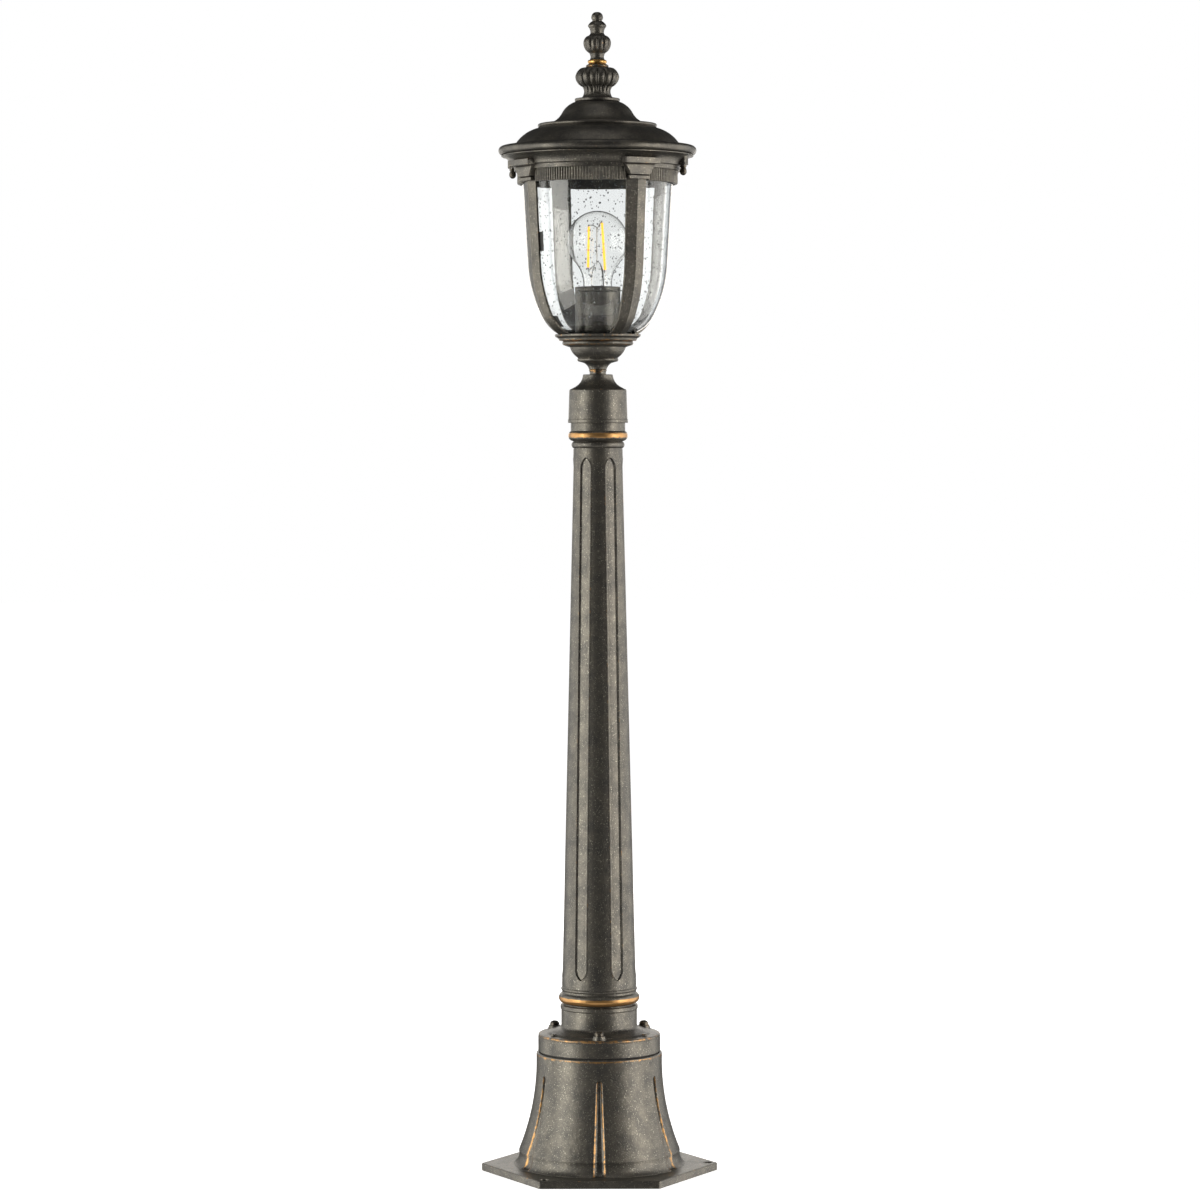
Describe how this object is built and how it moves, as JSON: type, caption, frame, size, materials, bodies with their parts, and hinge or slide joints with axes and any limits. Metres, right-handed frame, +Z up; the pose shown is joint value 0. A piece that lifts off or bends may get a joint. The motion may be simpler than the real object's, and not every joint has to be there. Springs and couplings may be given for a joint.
{
  "type": "garden path lantern",
  "caption": "Garden path lantern: a fluted tapering post on a hexagonal bolted foot, carrying a domed lantern head with a clear glass shade, ribs, lamp and finial.",
  "frame": {"origin": "centre of the foot plate's underside", "axes": "+Z up along the post; -Y is the front; two corners of the hexagonal foot lie on the X axis"},
  "size_m": [0.2248, 0.1958, 1.1015],
  "materials": {
    "bronze_paint": "cast aluminium with dark bronze paint, fine sand-cast grain, worn to gold on raised edges",
    "gold_ring": "brushed antique gold",
    "clear_glass": "clear seeded glass with small bubbles",
    "bulb_glass": "thin clear glass",
    "rubber": "black rubber",
    "zinc_steel": "zinc-plated steel",
    "black_steel": "blackened steel screws",
    "porcelain": "white glazed porcelain",
    "brass": "plain brass",
    "bulb_cap": "bare aluminium screw cap",
    "filament": "yellow phosphor strip, lit"
  },
  "bodies": {
    "root": {"base_bell": "bronze_paint", "flange_gasket": "rubber", "base_collar": "bronze_paint", "flange_screws": "black_steel", "shaft_set_screws": "black_steel", "post_shaft": "bronze_paint", "post_cap": "bronze_paint", "cap_set_screws": "black_steel", "stem_pipe": "zinc_steel", "pipe_nut_lower": "zinc_steel", "pipe_washer_lower": "zinc_steel", "neck_ring": "bronze_paint", "bottom_cup": "bronze_paint", "pipe_nut_upper": "zinc_steel", "pipe_washer_upper": "zinc_steel", "shade_gasket": "rubber", "holder_mount": "zinc_steel", "socket_sleeve": "bronze_paint", "lampholder": "porcelain", "screw_shell": "brass", "centre_contact": "brass", "glass_shade": "clear_glass", "crown_ring": "bronze_paint", "rib_front_right": "bronze_paint", "rib_back_right": "bronze_paint", "rib_back_left": "bronze_paint", "rib_front_left": "bronze_paint", "reeded_strips": "bronze_paint", "rib_screws": "black_steel", "glass_pads": "rubber"},
    "roof": {"roof": "bronze_paint", "finial_stud": "zinc_steel", "stud_nut": "zinc_steel", "stud_washer": "zinc_steel"},
    "finial": {"finial_ball": "bronze_paint", "finial_ring": "gold_ring", "finial_tip": "bronze_paint"},
    "roof_screw_left": {"roof_screw_left": "black_steel", "roof_screw_left_shank": "zinc_steel"},
    "roof_screw_right": {"roof_screw_right": "black_steel", "roof_screw_right_shank": "zinc_steel"},
    "bulb": {"bulb_cap": "bulb_cap", "bulb_envelope": "bulb_glass", "bulb_stem": "bulb_glass", "bulb_filaments": "filament"}
  },
  "joints": [
    {"name": "roof_lift", "type": "slide", "parent": "root", "child": "roof", "axis": [0, 0, 1], "range_m": [0, 0.12]},
    {"name": "finial_turn", "type": "hinge", "parent": "roof", "child": "finial", "pos_m": [0, 0, 1.032], "axis": [0, 0, 1], "continuous": true},
    {"name": "roof_screw_left_turn", "type": "hinge", "parent": "root", "child": "roof_screw_left", "pos_m": [-0.08075, 0.02164, 0.9557], "axis": [0, 0, 1], "continuous": true},
    {"name": "roof_screw_right_turn", "type": "hinge", "parent": "root", "child": "roof_screw_right", "pos_m": [0.08075, -0.02164, 0.9557], "axis": [0, 0, 1], "continuous": true},
    {"name": "bulb_turn", "type": "hinge", "parent": "root", "child": "bulb", "pos_m": [0, 0, 0.834], "axis": [0, 0, 1], "continuous": true}
  ]
}
